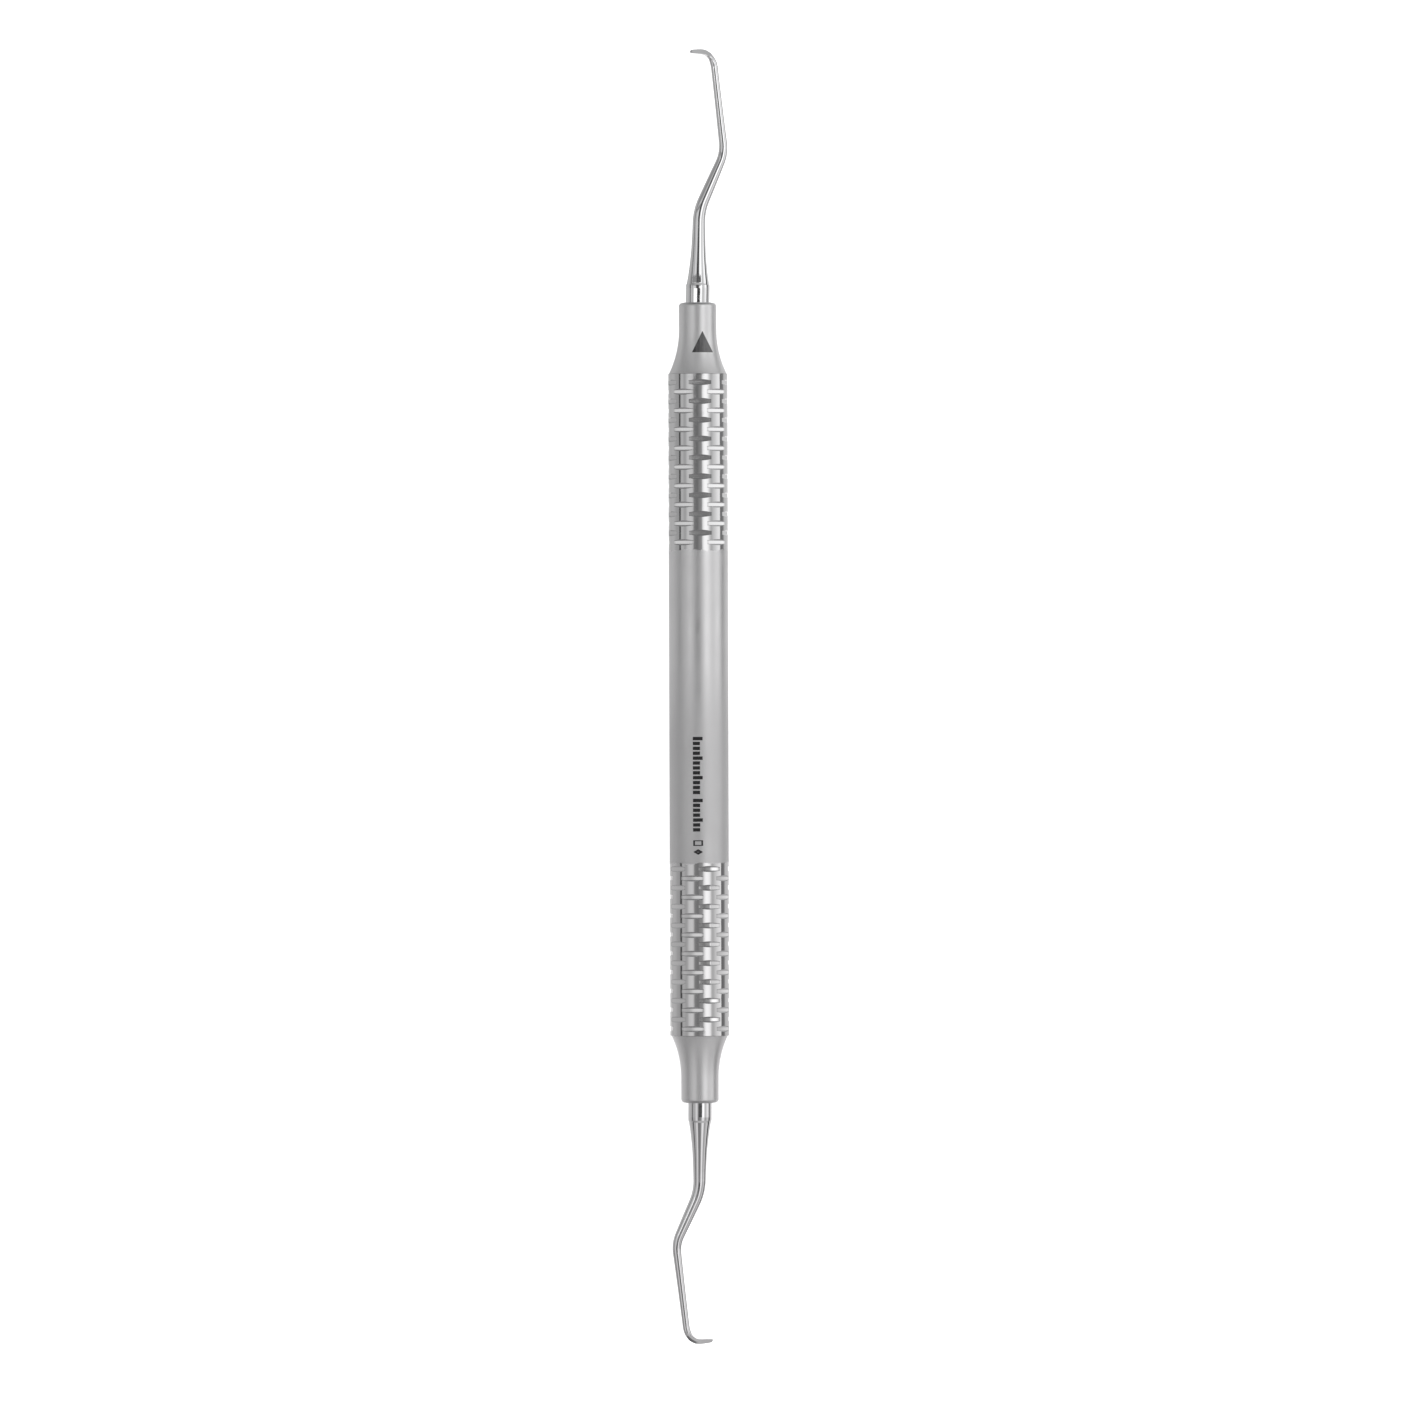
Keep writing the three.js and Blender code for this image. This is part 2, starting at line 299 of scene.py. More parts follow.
def strip_normals(lower, upper):
    """Corner normals of the quads between two rows, in the quads' corner order."""
    x0, r0, t0, off0, lane0, tilt0 = lower
    x1, r1, t1, _, lane1, _ = upper
    lean, out = -(r1 - r0).mean(), (x1 - x0).mean()
    grooved = lane0 is not None and lane1 == lane0 + 1
    if not grooved and abs(lean) > 1e-6:
        low = high = radial_normals(t0, lean / math.hypot(lean, out), out / math.hypot(lean, out))
    else:
        way = 1.0 if out > 0 else -1.0
        low, high = radial_normals(t0, 0.0, way), radial_normals(t1, 0.0, way)
    corners = [low, np.roll(low, -1, 0), np.roll(high, -1, 0), high]
    if not grooved:
        return np.stack(corners, 1)
    near, far = STRIP_FACING[lane0]
    limit = HALF_ARC + ANGLE_SLACK
    both = (np.abs(off0) < limit) & (np.abs(np.roll(off0, -1)) < limit)
    both &= np.abs(off0 - np.roll(off0, -1)) < 2 * TURN_STEP
    for corner, facing, step in ((0, near, 0), (1, near, -1), (2, far, -1), (3, far, 0)):
        if facing is not None:
            rolled = [np.roll(v, step) for v in (off0, t0, tilt0)]
            cut = groove_normals(*rolled, facing)
            corners[corner] = np.where(both[:, None], cut, corners[corner])
    return np.stack(corners, 1)


def handle_tube(material):
    """The tube as one closed strip of rows: outside from end to end, then back along the bore."""
    low, high = -LOWER_JOINT_X + JOINT_GAP, UPPER_JOINT_X - JOINT_GAP
    bore = HANDLE_RADIUS - TUBE_WALL
    shoulder = HANDLE_RADIUS - CRISP_CHAMFER
    slots = 2 * GROOVES_PER_COLUMN
    lower_turns = LOWER_GRIP["turn"] % TURN_STEP + np.arange(TUBE_SIDES) * TURN_STEP
    upper_turns = UPPER_GRIP["turn"] % TURN_STEP + np.arange(TUBE_SIDES) * TURN_STEP
    rows = [
        plain_row(low, shoulder, lower_turns),
        plain_row(low + CRISP_CHAMFER, HANDLE_RADIUS, lower_turns),
    ]
    for index in reversed(range(slots)):
        rows += groove_rows(LOWER_GRIP, index)
    begin, end = PLAIN_MARGIN - LOWER_GRIP["first_x"], UPPER_GRIP["first_x"] - PLAIN_MARGIN
    for x in np.linspace(begin, end, PLAIN_ROWS):
        share = (x - begin) / (end - begin)
        rows.append(plain_row(x, HANDLE_RADIUS, (1 - share) * lower_turns + share * upper_turns))
    for index in range(slots):
        rows += groove_rows(UPPER_GRIP, index)
    rows += [
        plain_row(high - CRISP_CHAMFER, HANDLE_RADIUS, upper_turns),
        plain_row(high, shoulder, upper_turns),
        plain_row(high, bore, upper_turns),
        plain_row(low, bore, lower_turns),
    ]
    points, normals = [], []
    for k, row in enumerate(rows):
        x, radius, turns = row[:3]
        y, z = around(turns, radius)
        points.append(np.stack([x, y, z], 1))
        normals.append(strip_normals(row, rows[(k + 1) % len(rows)]))
    faces = ring_faces(len(rows), TUBE_SIDES, closed=True)
    make_piece(
        "handle", np.concatenate(points), faces, material, "handle_tube",
        normals=np.concatenate(normals).reshape(-1, 3),
    )


# ---- necks ----

NECK_SIDES = 144
FLARE_RINGS = 48
EDGE_RINGS = 12
# How far short of the neck's end its flare and cylinder stop, before the rounded edge.
FLARE_STOP = 0.6


def flare_radius(neck, past_joint):
    """Radius of a neck's outside, that far past the tube."""
    left = np.maximum(0, neck["length"] - neck["cylinder"] - past_joint)
    return NECK_RADIUS + NECK_FLARE_RADIUS - np.sqrt(NECK_FLARE_RADIUS ** 2 - left ** 2)


def neck_outline(neck):
    """A neck's section, from its spigot's end round the outside to the bottom of its hole."""
    spigot = HANDLE_RADIUS - TUBE_WALL - JOINT_GAP
    hole = TANG_RADIUS + JOINT_GAP / 2
    length = neck["length"]
    start = CRISP_GAP - JOINT_GAP
    outline = [(-SPIGOT_LENGTH, 0), (-SPIGOT_LENGTH, spigot), (start, spigot)]
    for x in np.linspace(start, length - FLARE_STOP, FLARE_RINGS):
        outline.append((x, flare_radius(neck, x)))
    for angle in np.linspace(0, math.pi / 2, EDGE_RINGS):
        back = (NECK_EDGE_ROUND - NECK_END_DOME) * (1 - math.sin(angle)) + NECK_END_DOME
        outline.append((length - back, NECK_RADIUS - NECK_EDGE_ROUND * (1 - math.cos(angle))))
    outline.append((length, hole + HOLE_CHAMFER))
    outline.append((length - HOLE_CHAMFER_DEPTH, hole))
    deep = length - TANG_LENGTH - HOLE_SPARE_DEPTH
    return outline + [(deep, hole), (deep, 0)]


def turned_neck(name, side, joint_x, neck, material, replaced):
    """A neck's outline turned about the handle's axis."""
    outline = neck_outline(neck)
    turns = np.arange(NECK_SIDES) * 360 / NECK_SIDES
    rings = outline[1:-1]
    points = []
    for x, radius in rings:
        y, z = around(turns, radius)
        points.append(np.stack([np.full_like(y, side * (joint_x + x)), y, z], 1))
    for x, _ in (outline[0], outline[-1]):
        points.append([[side * (joint_x + x), 0, HANDLE_RADIUS]])
    faces = [*ring_faces(len(rings), NECK_SIDES, False)]
    faces += end_fans(len(rings), NECK_SIDES, len(rings) * NECK_SIDES)
    if side < 0:
        faces = [f[::-1] for f in faces]
    make_piece(name, np.concatenate(points), faces, material, replaced, sharp=35)


# ---- working tips ----

TIP_SIDES = 48
PATH_STEP = 0.02
RING_STEP = 0.12
BLADE_RINGS = 72
# The blade's rings crowd towards its point by this power.
RING_CROWDING = 1.4


def centre_line(side, neck_end, line):
    """Points close together along a tip's centre line, their tangents and normals, and reaches."""
    def at(corner):
        along, across, up = corner
        return np.array([side * (neck_end + along), -side * across, HANDLE_RADIUS + side * up])

    corners = [at(c) for c in line["corners"]]
    point = at(line["point"])
    start = at((-TANG_LENGTH, 0, 0))
    points = [start]

    def straight(end):
        begin = points[-1]
        steps = max(1, round(np.linalg.norm(end - begin) / PATH_STEP))
        points.extend(begin + (end - begin) * k / steps for k in range(1, steps + 1))

    straight(at((0, 0, 0)))
    for i, corner in enumerate(corners):
        after = corners[i + 1] if i + 1 < len(corners) else point
        before = points[-1]
        enter = corner + (before - corner) * line["rounds"][i] / np.linalg.norm(before - corner)
        leave = corner + (after - corner) * line["rounds"][i] / np.linalg.norm(after - corner)
        straight(enter)
        steps = round(2 * line["rounds"][i] / PATH_STEP)
        for k in range(1, steps + 1):
            t = k / steps
            points.append((1 - t) ** 2 * enter + 2 * t * (1 - t) * corner + t ** 2 * leave)
    straight(point)
    points = np.array(points)
    tangents = np.gradient(points, axis=0)
    tangents /= np.linalg.norm(tangents, axis=1, keepdims=True)
    normal = np.array([0.0, 0.0, 1.0])
    normals = []
    for tangent in tangents:
        normal = normal - tangent * normal.dot(tangent)
        normal /= np.linalg.norm(normal)
        normals.append(normal)
    reach = np.concatenate([[0], np.cumsum(np.linalg.norm(np.diff(points, axis=0), axis=1))])
    return points, tangents, np.array(normals), reach


def smooth_radius(distance):
    """The shank's radius, as a smooth curve through SHANK_RADII."""
    at, radius = np.array(SHANK_RADII).T
    slope = np.gradient(radius, at)
    k = int(np.clip(np.searchsorted(at, distance) - 1, 0, len(at) - 2))
    step = at[k + 1] - at[k]
    t = (distance - at[k]) / step
    return (
        (2 * t ** 3 - 3 * t ** 2 + 1) * radius[k] + (t ** 3 - 2 * t ** 2 + t) * step * slope[k]
        + (3 * t ** 2 - 2 * t ** 3) * radius[k + 1] + (t ** 3 - t ** 2) * step * slope[k + 1]
    )


def tip_rings(end):
    """(distance past the neck, radius) of a tip's rings, from the tang's end to the point."""
    blade_start = end - BLADE_LENGTH
    tapered_end = min(SHANK_RADII[-1][0], blade_start)
    rings = [(-TANG_LENGTH, TANG_RADIUS - TANG_CHAMFER), (-TANG_LENGTH + TANG_CHAMFER, TANG_RADIUS)]
    for s in np.linspace(COLLAR_START, COLLAR_LENGTH - COLLAR_ROUND, COLLAR_RINGS):
        rings.append((s, TANG_RADIUS))
    rings.append((COLLAR_LENGTH + COLLAR_ROUND, TANG_RADIUS - 0.75 * COLLAR_ROUND))
    for s in np.arange(COLLAR_LENGTH + COLLAR_TO_SHANK, tapered_end, RING_STEP):
        rings.append((s, smooth_radius(s)))
    last, shank_radius = rings[-1]
    for s in np.arange(last + RING_STEP, blade_start - RING_STEP / 2, RING_STEP):
        rings.append((s, shank_radius))
    for k in range(BLADE_RINGS + 1):
        left = (1 - k / BLADE_RINGS) ** RING_CROWDING
        onto = min(1, (1 - left) * BLADE_LENGTH / BLADE_NECKING)
        nose = min(1, left * BLADE_LENGTH / BLADE_NOSE)
        radius = shank_radius + (BLADE_RADIUS - shank_radius) * onto * onto * (3 - 2 * onto)
        radius *= left ** BLADE_TAPER * math.sqrt(nose * (2 - nose))
        rings.append((end - left * BLADE_LENGTH, max(radius, BLADE_END_RADIUS)))
    return rings


def working_tip(name, side, neck_end, line, material, replaced):
    """A round tang, collar and shank, ground to a rounded triangle along the blade."""
    points, tangents, normals, reach = centre_line(side, neck_end, line)
    end = reach[-1] - TANG_LENGTH
    binormals = np.cross(tangents, normals)
    outward = np.array([side, 0.0, 0.0])
    back = math.atan2(outward.dot(binormals[-1]), outward.dot(normals[-1]))
    angles = np.arange(TIP_SIDES) * 2 * math.pi / TIP_SIDES
    third = 2 * math.pi / 3
    triangle = BLADE_FLAT / np.cos(angles % third - third / 2)
    blade_start = end - BLADE_LENGTH
    loft = []
    for s, radius in tip_rings(end):
        i = int(np.clip(np.searchsorted(reach, s + TANG_LENGTH), 0, len(reach) - 1))
        t = float(np.clip((s - blade_start) / (BLADE_LENGTH / 2), 0, 1))
        ground = t * t * (3 - 2 * t)
        share = radius * (1 + ground * (triangle - 1))
        turn = angles + back
        loft.append(
            points[i] + share[:, None] * (
                np.cos(turn)[:, None] * normals[i] + np.sin(turn)[:, None] * binormals[i]
            )
        )
    faces = [*ring_faces(len(loft), TIP_SIDES, False)]
    faces += end_fans(len(loft), TIP_SIDES, len(loft) * TIP_SIDES)
    loft += [loft[0].mean(0, keepdims=True), loft[-1].mean(0, keepdims=True)]
    make_piece(name, np.concatenate(loft), faces, material, replaced, sharp=40)


# ---- marks ----

MARK_PROUD = 0.006
MARK_SUNK = 0.02


def laid(x, across, radius_at, lift):
    """The point that far over a round surface, at x and sideways towards -Y."""
    radius = radius_at(x)
    sine = across / radius
    lifted = radius + lift
    return x, -lifted * sine, HANDLE_RADIUS + lifted * math.sqrt(1 - sine ** 2)


def patch(corners, radius_at, columns, rows):
    """A thin closed patch laid on a round surface, with that many columns along its first side.

    Corners are (x, sideways towards -Y). They run first towards -Y and then towards +X.
    """
    a, b, c, d = [np.array(p, float) for p in corners]
    layers = []
    for lift in (MARK_PROUD, -MARK_SUNK):
        for v in np.linspace(0, 1, rows + 1):
            for u in np.linspace(0, 1, columns + 1):
                x, across = (1 - v) * ((1 - u) * a + u * b) + v * ((1 - u) * d + u * c)
                layers.append(laid(x, across, radius_at, lift))
    wide, size = columns + 1, (columns + 1) * (rows + 1)
    faces = []
    for v in range(rows):
        for u in range(columns):
            i = v * wide + u
            faces.append((i, i + 1, i + wide + 1, i + wide))
            faces.append((size + i, size + i + wide, size + i + wide + 1, size + i + 1))
    rim = [*range(wide), *range(2 * wide - 1, size, wide)]
    rim += [*range(size - 2, size - wide - 1, -1), *range(size - 2 * wide, 0, -wide)]
    for i, j in zip(rim, rim[1:] + rim[:1]):
        faces.append((i, size + i, size + j, j))
    return layers, faces


def band(outer, inner, radius_at, steps):
    """A thin closed outline between two lists of corners that run from +X towards +Y."""
    loops = []
    for corners, lift in (
        (outer, MARK_PROUD), (inner, MARK_PROUD), (inner, -MARK_SUNK), (outer, -MARK_SUNK),
    ):
        for here, after in zip(corners, np.roll(corners, -1, 0)):
            for share in np.arange(steps) / steps:
                loops.append(laid(*(here + (after - here) * share), radius_at, lift))
    return loops, ring_faces(4, len(corners) * steps, closed=True)


def marks(name, patches, material):
    """One piece of several patches."""
    points, faces = [], []
    for more_points, more_faces in patches:
        start = len(points)
        points += more_points
        faces += [tuple(start + i for i in f) for f in more_faces]
    make_piece(name, points, faces, material, None, sharp=50)


ARROW_BASE, ARROW_TOP = 47.3, 50.13
ARROW_LEFT, ARROW_RIGHT, ARROW_MIDDLE = -0.78, 2.06, 0.64
ARROW_TIP_HALF = 0.03
ARROW_COLUMNS, ARROW_ROWS = 20, 16


def arrow(material):
    """The solid triangle on the upper neck, pointing to the tip."""
    corners = [
        (ARROW_BASE, ARROW_LEFT), (ARROW_BASE, ARROW_RIGHT),
        (ARROW_TOP, ARROW_MIDDLE + ARROW_TIP_HALF), (ARROW_TOP, ARROW_MIDDLE - ARROW_TIP_HALF),
    ]

    def radius_at(x):
        return float(flare_radius(UPPER_NECK, x - UPPER_JOINT_X))

    marks("arrow_mark", [patch(corners, radius_at, ARROW_COLUMNS, ARROW_ROWS)], material)


# A bar runs round the handle from BAR_START, towards -Y, and one in four is tall. A group is (first
# bar's x, number of bars), and its bars follow each other towards -X.
BAR_GROUPS = [(-4.6, 12), (-12.95, 7)]
BAR_THICKNESS, BAR_PITCH = 0.46, 0.66
BAR_START, SHORT_BAR_END, TALL_BAR_END = -0.82, 0.14, 0.5
TALL_BAR_EVERY = 4
BAR_STEPS = 8
# ((the centre's x and distance towards -Y), corners about it, thickness at a corner)
OUTLINES = [
    ((-18.93, -0.14), [(0.38, 0.66), (0.38, -0.66), (-0.38, -0.66), (-0.38, 0.66)], 0.266),
    ((-20.13, -0.14), [(0.38, 0.0), (0.0, -0.66), (-0.38, 0.0), (0.0, 0.66)], 0.361),
]
OUTLINE_STEPS = 6


def handle_marks(material):
    """Two groups of plain bars and two plain outlined shapes on the stretch between the grips."""
    def radius_at(_):
        return HANDLE_RADIUS

    patches = []
    for first, count in BAR_GROUPS:
        for k in range(count):
            high = first - k * BAR_PITCH
            low = high - BAR_THICKNESS
            end = SHORT_BAR_END if k % TALL_BAR_EVERY else TALL_BAR_END
            corners = [(low, BAR_START), (low, end), (high, end), (high, BAR_START)]
            patches.append(patch(corners, radius_at, BAR_STEPS, 1))
    for centre, corners, thickness in OUTLINES:
        outer = np.array(corners)
        inner = outer * (1 - thickness / np.linalg.norm(outer, axis=1))[:, None]
        patches.append(band(outer + centre, inner + centre, radius_at, OUTLINE_STEPS))
    marks("handle_marks", patches, material)


# ---- materials ----

PER_METRE = 1000.0


class Nodes:
    """A Principled material and short ways to add the nodes that feed it."""

    def __init__(self, name, metallic):
        self.material = bpy.data.materials.new(name)
        self.material.use_nodes = True
        self.tree = self.material.node_tree
        self.shader = self.tree.nodes["Principled BSDF"]
        self.shader.inputs["Metallic"].default_value = metallic
        self.place = self.tree.nodes.new("ShaderNodeTexCoord").outputs["Object"]

    def link(self, out, socket):
        self.tree.links.new(out, socket)

    def feed(self, name, out):
        """Links an output to the shader's own socket of that name."""
        self.link(out, self.shader.inputs[name])

    def set_or_link(self, socket, value):
        if isinstance(value, (int, float)):
            socket.default_value = value
        elif isinstance(value, tuple):
            socket.default_value = (*value, 1)
        else:
            self.link(value, socket)

    def along(self, axis):
        """A point's place along X, Y or Z, in millimetres."""
        apart = self.tree.nodes.new("ShaderNodeSeparateXYZ")
        self.link(self.place, apart.inputs["Vector"])
        return self.math("MULTIPLY", apart.outputs[axis], PER_METRE)

    def math(self, operation, a, b=None, clamp=False):
        node = self.tree.nodes.new("ShaderNodeMath")
        node.operation = operation
        node.use_clamp = clamp
        self.set_or_link(node.inputs[0], a)
        if b is not None:
            self.set_or_link(node.inputs[1], b)
        return node.outputs[0]

    def stretch(self, scale):
        node = self.tree.nodes.new("ShaderNodeMapping")
        node.inputs["Scale"].default_value = scale
        self.link(self.place, node.inputs["Vector"])
        return node.outputs["Vector"]

    def noise(self, per_mm, detail=2.0, scale=(1, 1, 1)):
        """Noise with that many features per millimetre, in the object's own space."""
        node = self.tree.nodes.new("ShaderNodeTexNoise")
        node.inputs["Scale"].default_value = per_mm * PER_METRE
        node.inputs["Detail"].default_value = detail
        self.link(self.stretch(scale), node.inputs["Vector"])
        return node.outputs["Fac"]

    def between(self, factor, low, high, from_low=0.3, from_high=0.7):
        """Low to high as factor goes from from_low to from_high, which suits a noise's spread."""
        node = self.tree.nodes.new("ShaderNodeMapRange")
        node.inputs["From Min"].default_value = from_low
        node.inputs["From Max"].default_value = from_high
        node.inputs["To Min"].default_value = low
        node.inputs["To Max"].default_value = high
        self.link(factor, node.inputs["Value"])
        return node.outputs["Result"]

    def blend(self, factor, a, b):
        """Numbers or sockets a and b, mixed by factor."""
        node = self.tree.nodes.new("ShaderNodeMix")
        self.link(factor, node.inputs["Factor"])
        self.set_or_link(node.inputs["A"], a)
        self.set_or_link(node.inputs["B"], b)
        return node.outputs["Result"]

    def tint(self, factor, a, b):
        """Colours or sockets a and b, mixed by factor."""
        node = self.tree.nodes.new("ShaderNodeMix")
        node.data_type = "RGBA"
        self.link(factor, node.inputs[0])
        self.set_or_link(node.inputs[6], a)
        self.set_or_link(node.inputs[7], b)
        return node.outputs[2]

    def bump(self, height, rise_mm, after=None):
        """Bends the shader's normal by a height, on top of an earlier bump if there is one."""
        node = self.tree.nodes.new("ShaderNodeBump")
        node.inputs["Strength"].default_value = 1.0
        node.inputs["Distance"].default_value = rise_mm * MM
        self.link(height, node.inputs["Height"])
        if after is not None:
            self.link(after, node.inputs["Normal"])
        self.feed("Normal", node.outputs["Normal"])
        return node.outputs["Normal"]


SATIN_DARK, SATIN_LIGHT = (0.76, 0.76, 0.765), (0.81, 0.81, 0.815)
# Painted shade: the satin's darker tint towards -X, where its highlight fades.
SATIN_SHADE_DARK, SATIN_SHADE_LIGHT = (0.71, 0.71, 0.715), (0.76, 0.76, 0.765)
NECK_DARK, NECK_LIGHT = (0.78, 0.78, 0.785), (0.83, 0.83, 0.835)
BRIGHT_DARK, BRIGHT_LIGHT = (0.67, 0.67, 0.675), (0.71, 0.71, 0.715)
# Painted highlight: a lighter copy of the grip's steel tint inside the grooves.
GROOVE_HIGHLIGHT_TINT = (0.81, 0.81, 0.815)
MIRROR_DARK, MIRROR_LIGHT = (0.77, 0.77, 0.78), (0.83, 0.83, 0.84)
BURNT_DARK, BURNT_LIGHT = (0.03, 0.03, 0.032), (0.125, 0.125, 0.127)
OXIDE_DARK, OXIDE_LIGHT = (0.004, 0.004, 0.005), (0.014, 0.014, 0.016)
SATIN_ROUGHNESS = (0.38, 0.44)
RUBBED_ROUGHNESS = 0.27
POLISHED_ROUGHNESS = (0.04, 0.09)
OXIDE_ROUGHNESS = (0.38, 0.55)
PITTING_RISE = 0.002
WAVES_RISE = 0.006
# Between these along X the satin's roughness turns from dull to plain, and its tint from darker to
# plain: the darker tint is a painted shade where the highlight fades towards -X.
ROUGHNESS_DULL_X, ROUGHNESS_PLAIN_X = -5.0, 7.0
SHADE_FULL_X, SHADE_NONE_X = -5.0, 5.0
# What is added to the roughness where the satin is dull and where it is plain.
DULL_ROUGHER, PLAIN_ROUGHER = 0.13, -0.02
# The blasting mask's edge fades from here, just short of each grip's first groove.
MASK_FADE = 0.12
UPPER_MASK_X = UPPER_GRIP["first_x"] - 1.12
LOWER_MASK_X = 0.72 - LOWER_GRIP["first_x"]
MASK_UNEVEN = 0.16
# How deep a point lies under the handle's surface where the grooves' lighter tint sets in, a
# painted highlight that brightens them.
CUT_FROM, CUT_TO = 0.03, 0.06
# From the arrow's -Y side to its +Y side.
ARROW_Y = (-1.3, 0.5)
STREAK_DEPTH = 0.35


def satin_height(nodes):
    """The fine pitting that bead blasting leaves."""
    coarse = nodes.math("MULTIPLY", nodes.noise(5.0, detail=3.0), 0.6)
    fine = nodes.math("MULTIPLY", nodes.noise(14.0, detail=2.0), 0.4)
    return nodes.math("ADD", coarse, fine)


def satin_roughness(nodes):
    """Blasted steel: uneven in soft patches, with a few faint rubbed streaks along the handle."""
    patches = nodes.between(nodes.noise(0.25, detail=3.0), *SATIN_ROUGHNESS)
    streaks = nodes.noise(1.1, detail=1.0, scale=(0.22, 1.0, 1.0))
    return nodes.blend(nodes.between(streaks, 0.0, 0.5, 0.62, 0.78), patches, RUBBED_ROUGHNESS)


def polished_height(nodes):
    """The faint waves of hand polishing."""
    return nodes.noise(0.8, detail=1.0)


def polished_roughness(nodes):
    """Mirror polish with faint wiping marks round the handle."""
    wiped = nodes.noise(3.0, detail=3.0, scale=(1.0, 0.15, 0.15))
    return nodes.between(wiped, *POLISHED_ROUGHNESS)


def handle_steel():
    """Satin between the grips and polished on them, with the blasting mask's uneven edge."""
    nodes = Nodes("handle_steel", 1.0)
    uneven = nodes.between(nodes.noise(0.7), -MASK_UNEVEN, MASK_UNEVEN)
    x = nodes.math("ADD", nodes.along("X"), uneven)
    upper = nodes.between(x, 0.0, 1.0, UPPER_MASK_X, UPPER_MASK_X + MASK_FADE)
    lower = nodes.between(x, 1.0, 0.0, LOWER_MASK_X, LOWER_MASK_X + MASK_FADE)
    polished = nodes.math("ADD", upper, lower, clamp=True)

    rougher = nodes.between(x, DULL_ROUGHER, PLAIN_ROUGHER, ROUGHNESS_DULL_X, ROUGHNESS_PLAIN_X)
    satin = nodes.math("ADD", satin_roughness(nodes), rougher)
    nodes.feed("Roughness", nodes.blend(polished, satin, polished_roughness(nodes)))

    mottle = nodes.noise(0.2, detail=3.0)
    plain_tint = nodes.tint(mottle, SATIN_DARK, SATIN_LIGHT)
    # The satin turns to this darker tint towards -X, a painted shade where its highlight fades.
    shaded_satin_tint = nodes.tint(mottle, SATIN_SHADE_DARK, SATIN_SHADE_LIGHT)
    shade_share = nodes.between(x, 1.0, 0.0, SHADE_FULL_X, SHADE_NONE_X)
    satin_tint_and_shade = nodes.tint(shade_share, plain_tint, shaded_satin_tint)
    bright_tint = nodes.tint(mottle, BRIGHT_DARK, BRIGHT_LIGHT)
    y, z = nodes.along("Y"), nodes.math("SUBTRACT", nodes.along("Z"), HANDLE_RADIUS)
    squares = nodes.math("ADD", nodes.math("MULTIPLY", y, y), nodes.math("MULTIPLY", z, z))
    depth = nodes.math("SUBTRACT", HANDLE_RADIUS, nodes.math("SQRT", squares))
    # Inside the grooves the tint turns lighter: a painted highlight that brightens their floors.
    cut = nodes.math("MULTIPLY", nodes.between(depth, 0.0, 1.0, CUT_FROM, CUT_TO), polished)
    turned = nodes.tint(polished, satin_tint_and_shade, bright_tint)
    nodes.feed("Base Color", nodes.tint(cut, turned, GROOVE_HIGHLIGHT_TINT))

    blasted = nodes.math("MULTIPLY", satin_height(nodes), nodes.math("SUBTRACT", 1.0, polished))
    pitted = nodes.bump(blasted, PITTING_RISE)
    nodes.bump(nodes.math("MULTIPLY", polished_height(nodes), polished), WAVES_RISE, after=pitted)
    return nodes.material


def neck_steel():
    nodes = Nodes("neck_steel", 1.0)
    nodes.feed("Roughness", satin_roughness(nodes))
    nodes.feed("Base Color", nodes.tint(nodes.noise(0.3, detail=3.0), NECK_DARK, NECK_LIGHT))
    nodes.bump(satin_height(nodes), PITTING_RISE)
    return nodes.material


def tip_steel():
    nodes = Nodes("tip_steel", 1.0)
    nodes.feed("Roughness", polished_roughness(nodes))
    nodes.feed("Base Color", nodes.tint(nodes.noise(0.4), MIRROR_DARK, MIRROR_LIGHT))
    nodes.bump(polished_height(nodes), WAVES_RISE)
    return nodes.material


def arrow_oxide():
    """Burnt steel: dark at the arrow's +Y side, greyer and streaky towards -Y."""
    nodes = Nodes("arrow_oxide", 0.0)
    sideways = nodes.between(nodes.along("Y"), 1.0, 0.0, *ARROW_Y)
    streaks = nodes.noise(2.6, scale=(0.12, 1.0, 1.0))
    streaks = nodes.between(streaks, -STREAK_DEPTH, STREAK_DEPTH)
    burnt = nodes.math("ADD", sideways, streaks, clamp=True)
    nodes.feed("Base Color", nodes.tint(burnt, BURNT_DARK, BURNT_LIGHT))
    nodes.feed("Roughness", nodes.between(nodes.noise(9.0), *OXIDE_ROUGHNESS))
    return nodes.material


def bar_oxide():
    """Laser-marked oxide, nearly black and slightly mottled."""
    nodes = Nodes("bar_oxide", 0.0)
    nodes.feed("Base Color", nodes.tint(nodes.noise(6.0), OXIDE_DARK, OXIDE_LIGHT))
    nodes.feed("Roughness", nodes.between(nodes.noise(9.0), *OXIDE_ROUGHNESS))
    return nodes.material


# ---- the pieces ----

ENDS = [
    ("upper", 1, UPPER_JOINT_X, UPPER_NECK, UPPER_LINE),
    ("lower", -1, LOWER_JOINT_X, LOWER_NECK, LOWER_LINE),
]
handle_tube(handle_steel())
satin = neck_steel()
for end, side, joint_x, neck, _ in ENDS:
    turned_neck(f"{end}_neck_turned", side, joint_x, neck, satin, f"{end}_neck")
mirror = tip_steel()
for end, side, joint_x, neck, line in ENDS:
    neck_end = joint_x + neck["length"]
    working_tip(f"{end}_tip_ground", side, neck_end, line, mirror, f"{end}_tip")
arrow(arrow_oxide())
handle_marks(bar_oxide())

# ---- studio: a pale floor inside a long light tent ----

